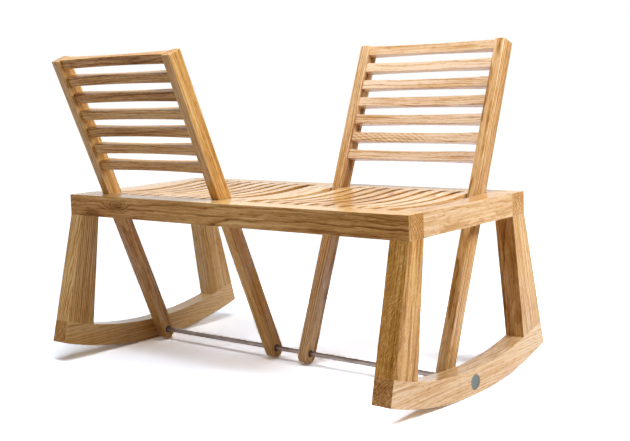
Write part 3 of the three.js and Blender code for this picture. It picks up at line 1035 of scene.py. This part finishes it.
# %% Turn the round pieces
def turned(profile, centre_z=0.0, steps=64):
    """A solid of revolution from a profile of (x, radius) points, about an axis along X."""
    solid = bmesh.new()
    loops = []
    for x, radius in profile:
        if radius == 0:
            loops.append([solid.verts.new((x, 0, centre_z))] * steps)
        else:
            circle = round_outline(radius, centre_z, steps)
            loops.append([solid.verts.new((x, y, z)) for y, z in circle])
    has_bore = profile[0][1] > 0
    for i in range(0 if has_bore else 1, len(loops)):
        for j in range(steps):
            k = (j + 1) % steps
            corners = [loops[i - 1][j], loops[i - 1][k], loops[i][k], loops[i][j]]
            solid.faces.new(list(dict.fromkeys(corners)))
    bmesh.ops.recalc_face_normals(solid, faces=solid.faces)
    return solid


def add_turned(name, solid, material, body, stands_for, place=Matrix()):
    mesh = bpy.data.meshes.new(name)
    solid.to_mesh(mesh)
    solid.free()
    mesh.transform(place)
    add_piece(name, mesh, material, body, stands_for)


chamfer = 0.0008
rod_end = rod_high.x
rod_profile = [
    (-rod_end, 0), (-rod_end, rod_radius - chamfer), (-rod_end + chamfer, rod_radius),
    (rod_end - chamfer, rod_radius), (rod_end, rod_radius - chamfer), (rod_end, 0),
]
add_turned("steel_pivot_rod", turned(rod_profile, rod_z), steel, "frame", ["pivot_rod"])

for side in ("left", "right"):
    for place, x in upright_x.items():
        end = x + upright_width
        profile = [
            (x, bore_radius + chamfer), (x, bush_radius - chamfer), (x + chamfer, bush_radius),
            (end - chamfer, bush_radius), (end, bush_radius - chamfer), (end, bore_radius + chamfer),
            (end - chamfer, bore_radius), (x + chamfer, bore_radius),
        ]
        body = side + "_back"
        name = f"{body}_{place}_bush"
        add_turned("nylon_" + name, turned(profile), nylon, body, [name], lean_of[side])

cover_radius = (cover_high.z - cover_low.z) / 2
rim = 0.0012
outer = cover_high.x
cover_profile = [
    (cover_low.x, 0), (cover_low.x, cover_radius), (outer - rim, cover_radius),
    (outer - rim / 3, cover_radius - rim / 3), (outer, cover_radius - rim), (outer, cover_radius - 2 * rim),
    (outer - rim / 2, cover_radius - 3 * rim), (outer - rim / 2, 0),
]
for side, sign in (("right", 1), ("left", -1)):
    profile = [(sign * x, radius) for x, radius in cover_profile]
    name = f"{side}_rod_cover"
    add_turned("painted_" + name, turned(profile, rod_z), paint, "frame", [name])
    for fitting in ("washer", "nut"):
        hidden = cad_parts[f"{side}_rod_{fitting}"]
        hidden.data.materials.clear()
        hidden.data.materials.append(steel)

# %% [markdown]
# ## Floor, backdrop and light
# The bench stands on a plain white floor in an open white room. The room looks white to the camera and in
# reflections, but hardly lights the bench. One big soft lamp hangs above, and a second stands to the right,
# higher than the seat, so tops are brightest, the right-hand faces next, and the front faces lie in soft
# shade. The floor throws warm light up from below. A weak third lamp, low at the front left, opens the shade,
# and is kept out of reflections.

# %% Set up the studio
def ray_kinds(tree, *kinds):
    """1 for the kinds of ray named, 0 for the rest."""
    path = tree.nodes.new("ShaderNodeLightPath")
    total = path.outputs[kinds[0]]
    for kind in kinds[1:]:
        total = maths(tree, total, path.outputs[kind], "MAXIMUM")
    return total


def white_room(ambient):
    world = bpy.data.worlds.new("white_room")
    bpy.context.scene.world = world
    world.use_nodes = True
    tree = world.node_tree
    tree.nodes.clear()
    seen = ray_kinds(tree, "Is Camera Ray", "Is Glossy Ray", "Is Transmission Ray")
    level_of_light = mixed(tree, seen, ambient, (1, 1, 1, 1))
    background = node(tree, "ShaderNodeBackground", {"Color": level_of_light, "Strength": 1.0})
    node(tree, "ShaderNodeOutputWorld", {"Surface": background})


glow_starts, glow_is_full = 1.2, 3.0  # metres from the bench


def white_floor(half_size, bounce, paper, lift):
    """The camera sees white paper with the bench's shadow on it. What bounces off it is less and warmer."""
    mesh = bpy.data.meshes.new("floor")
    corners = [(x * half_size, y * half_size, 0) for x, y in ((-1, -1), (1, -1), (1, 1), (-1, 1))]
    mesh.from_pydata(corners, [], [(0, 1, 2, 3)])
    floor = bpy.data.objects.new("floor", mesh)
    bpy.context.scene.collection.objects.link(floor)
    material, tree = blank_material("white_floor")
    seen = ray_kinds(tree, "Is Camera Ray", "Is Glossy Ray", "Is Transmission Ray")
    matt = node(tree, "ShaderNodeBsdfDiffuse", {"Color": mixed(tree, seen, bounce, paper)})
    place = node(tree, "ShaderNodeTexCoord", out="Object")
    away = length_of(tree, place)
    glow_there = spread(tree, away, glow_starts, glow_is_full, lift, 1.0, smooth=True)
    strength = times(tree, seen, glow_there)
    glow = node(tree, "ShaderNodeEmission", {"Color": (1, 1, 1, 1), "Strength": strength})
    both = node(tree, "ShaderNodeAddShader", {0: matt, 1: glow})
    node(tree, "ShaderNodeOutputMaterial", {"Surface": both})
    mesh.materials.append(material)
    floor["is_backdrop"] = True


def softbox(name, place, target, size, watts, mirrored=True):
    lamp = bpy.data.lights.new(name, "AREA")
    lamp.shape = "RECTANGLE"
    lamp.size, lamp.size_y = size
    lamp.energy = watts
    holder = bpy.data.objects.new(name, lamp)
    bpy.context.scene.collection.objects.link(holder)
    holder.location = place
    holder.rotation_euler = (Vector(target) - Vector(place)).to_track_quat("-Z", "Y").to_euler()
    holder.visible_glossy = mirrored


white_room(ambient=(0.075, 0.066, 0.053, 1))
white_floor(half_size=12.0, bounce=(0.74, 0.65, 0.52, 1), paper=(1.95, 2.17, 2.5, 1), lift=0.02)
softbox("top_lamp", (0.1, -0.35, 2.1), (0, 0, 0.4), size=(1.4, 1.0), watts=38)
softbox("right_lamp", (1.85, 0.4, 1.3), (0.3, 0, 0.35), size=(0.8, 0.5), watts=28)
softbox("left_lamp", (-1.7, -1.8, 0.45), (-0.2, 0, 0.35), size=(0.9, 0.5), watts=6.0, mirrored=False)

bpy.context.scene.view_settings.view_transform = "Standard"
print("lamps in watts:", {lamp.name: lamp.energy for lamp in bpy.data.lights})

# %% [markdown]
# ## Last: compare the sizes
# The finished bench has to fill the same box as the construction model, so the change in size is printed.

# %% Print the change in size and finish
new_low, new_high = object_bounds()
change = (new_high - new_low) - (cad_high - cad_low)
print("change in size in mm:", [round(1000 * value, 2) for value in change])
